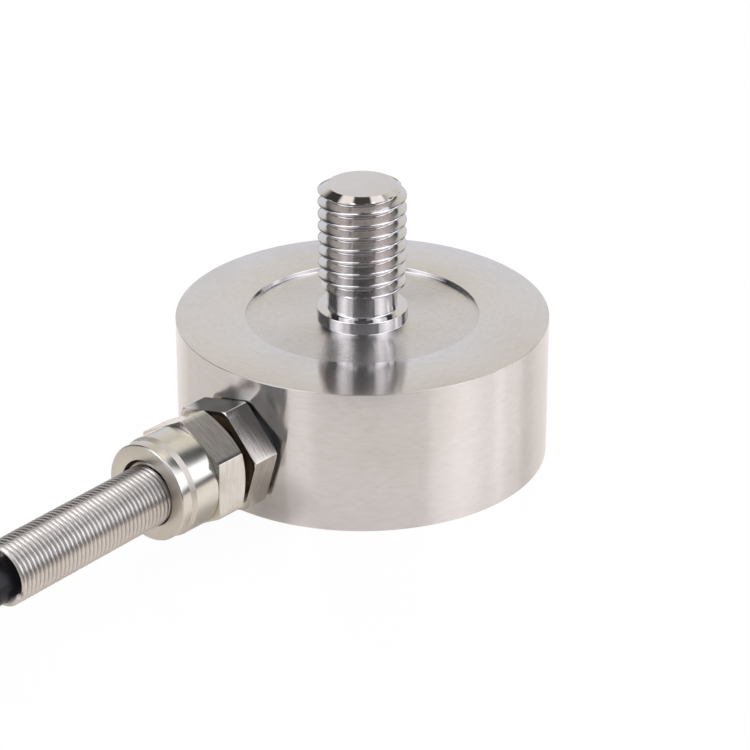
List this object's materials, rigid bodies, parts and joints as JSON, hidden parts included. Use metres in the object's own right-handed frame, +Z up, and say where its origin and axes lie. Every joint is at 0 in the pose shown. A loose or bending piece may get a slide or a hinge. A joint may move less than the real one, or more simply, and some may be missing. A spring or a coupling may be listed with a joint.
{
  "type": "tension load cell",
  "caption": "Round stainless membrane load cell with a threaded stud on top, a tapped base, a side cable gland with a bend relief spring and a coiled cable with bare leads.",
  "frame": {"origin": "centre of the base face", "axes": "+Z up along the load axis towards the stud, -X along the cable gland"},
  "size_m": [0.167, 0.094, 0.0389],
  "materials": {
    "stainless": "turned stainless steel, fine circular tool marks",
    "nickel_plate": "brass with bright satin nickel plating",
    "spring_wire": "drawn stainless spring wire",
    "cable_jacket": "smooth black polyurethane jacket, semi-matt",
    "tie_nylon": "moulded black nylon",
    "shrink_sleeve": "shrunk black polyolefin sleeve",
    "seal_rubber": "moulded black rubber",
    "gauge_foil": "amber polyimide with metal foil",
    "copper_wire": "enamelled copper wire",
    "insulator": "thin insulating film",
    "circuit_board": "glass-fibre board with green mask",
    "solder": "tin solder",
    "resistor": "chip resistor",
    "potting": "amber sealing compound",
    "core_red": "coloured core insulation",
    "core_black": "coloured core insulation",
    "core_green": "coloured core insulation",
    "core_white": "coloured core insulation"
  },
  "bodies": {
    "root": {"sensing_body": "stainless", "base_plate": "stainless", "strain_gauge_1": "gauge_foil", "strain_gauge_2": "gauge_foil", "strain_gauge_3": "gauge_foil", "strain_gauge_4": "gauge_foil", "gauge_wires": "copper_wire", "board_insulator": "insulator", "bridge_board": "circuit_board", "solder_joints": "solder", "zero_resistor": "resistor", "span_resistor": "resistor", "thermal_resistor": "resistor", "inner_core_red": "core_red", "inner_core_black": "core_black", "inner_core_green": "core_green", "inner_core_white": "core_white", "port_potting": "potting", "port_washer": "seal_rubber", "gland_body": "nickel_plate", "gland_seal": "seal_rubber", "thrust_washer": "nickel_plate", "gland_cap": "nickel_plate", "bend_spring": "spring_wire", "cable": "cable_jacket", "cable_coil": "cable_jacket", "coil_tie_1": "tie_nylon", "coil_tie_2": "tie_nylon", "end_sleeve": "shrink_sleeve", "lead_red": "core_red", "lead_black": "core_black", "lead_green": "core_green", "lead_white": "core_white"}
  },
  "joints": []
}
